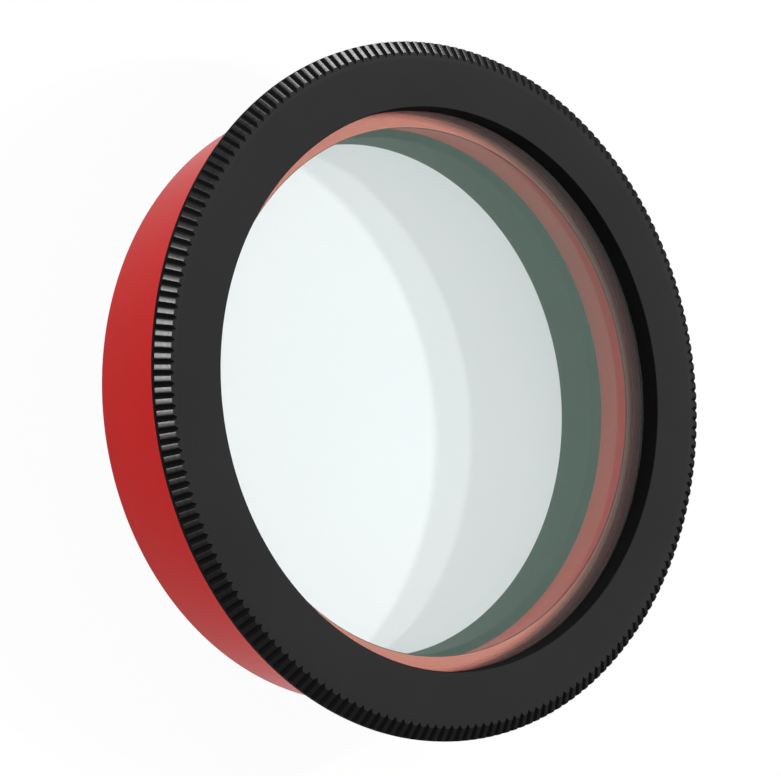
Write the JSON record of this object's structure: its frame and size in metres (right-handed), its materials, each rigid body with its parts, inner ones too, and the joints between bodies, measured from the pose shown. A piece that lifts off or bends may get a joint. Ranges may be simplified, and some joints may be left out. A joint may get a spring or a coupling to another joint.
{
  "type": "action camera uv filter",
  "caption": "Round clear filter for an action camera: knurled front ring, recessed coated glass, short tube that screws onto the lens and a soft seal sleeve inside.",
  "frame": {"origin": "centre of the rear rim, in the plane that the filter lies on", "axes": "+Z along the optical axis, from the rear rim to the front ring"},
  "size_m": [0.04, 0.04, 0.0094],
  "materials": {
    "black_anodised": "satin black anodising",
    "coated_glass": "polished, with a faint green coating",
    "red_anodised": "satin red anodising",
    "black_rubber": "smooth black rubber"
  },
  "bodies": {
    "root": {"front_ring": "black_anodised", "filter_glass": "coated_glass", "barrel": "red_anodised", "seal_sleeve": "black_rubber"}
  },
  "joints": []
}
